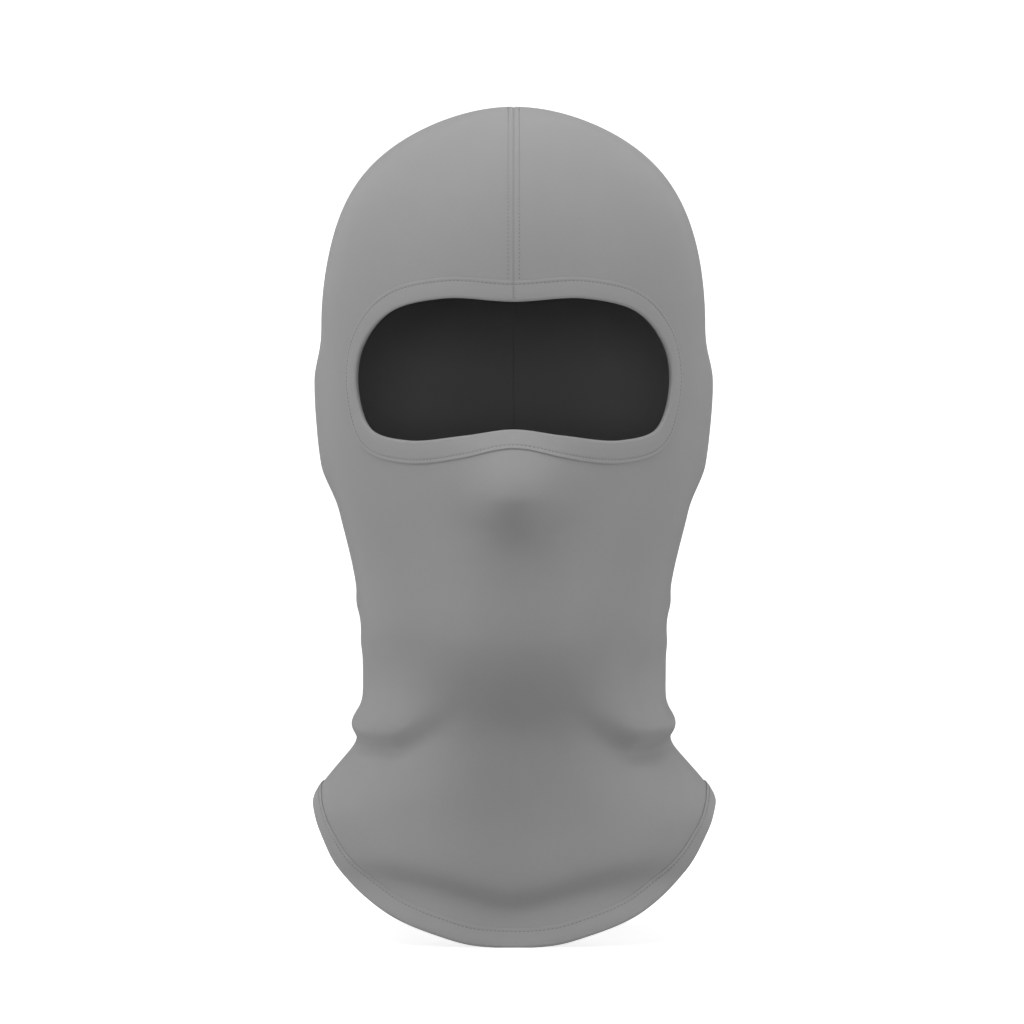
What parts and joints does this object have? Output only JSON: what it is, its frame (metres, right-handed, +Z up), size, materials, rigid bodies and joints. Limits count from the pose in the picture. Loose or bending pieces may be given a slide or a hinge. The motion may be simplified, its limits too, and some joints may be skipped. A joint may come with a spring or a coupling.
{
  "type": "balaclava",
  "caption": "Two-layer stretch-knit hood that covers the head, face and neck, with one wide oval eye opening, bound edges and a seam over the crown.",
  "frame": {"origin": "centre of the underside of the bounding box", "axes": "+Z up towards the crown, -Y the way the face looks, +X to the right seen from the front"},
  "size_m": [0.1715, 0.2174, 0.3503],
  "materials": {
    "grey_knit": "soft brushed stretch knit",
    "charcoal_knit": "soft brushed stretch knit",
    "grey_band_knit": "folded stretch knit",
    "grey_thread": "twisted polyester thread",
    "charcoal_thread": "twisted polyester thread",
    "seam_tape": "thin knitted tape",
    "elastic": "braided elastic",
    "label_satin": "woven satin, blank"
  },
  "bodies": {
    "hood": {"outer_shell": "grey_knit", "lining": "charcoal_knit", "crown_seam_tape": "seam_tape", "crown_seam_thread": "grey_thread", "crown_topstitch_left": "grey_thread", "crown_topstitch_right": "grey_thread", "lining_seam_thread": "charcoal_thread", "eye_band": "grey_band_knit", "eye_elastic": "elastic", "eye_band_stitch": "grey_thread", "eye_band_join_thread": "grey_thread", "neck_band": "grey_band_knit", "neck_band_stitch": "grey_thread", "neck_band_join_thread": "grey_thread", "label_stitch": "grey_thread"},
    "label": {"care_label": "label_satin"}
  },
  "joints": [
    {"name": "label_flip", "type": "hinge", "parent": "hood", "child": "label", "pos_m": [0, 0.0799, 0.0691], "axis": [-1, 0, 0], "range_deg": [0, 110]}
  ]
}
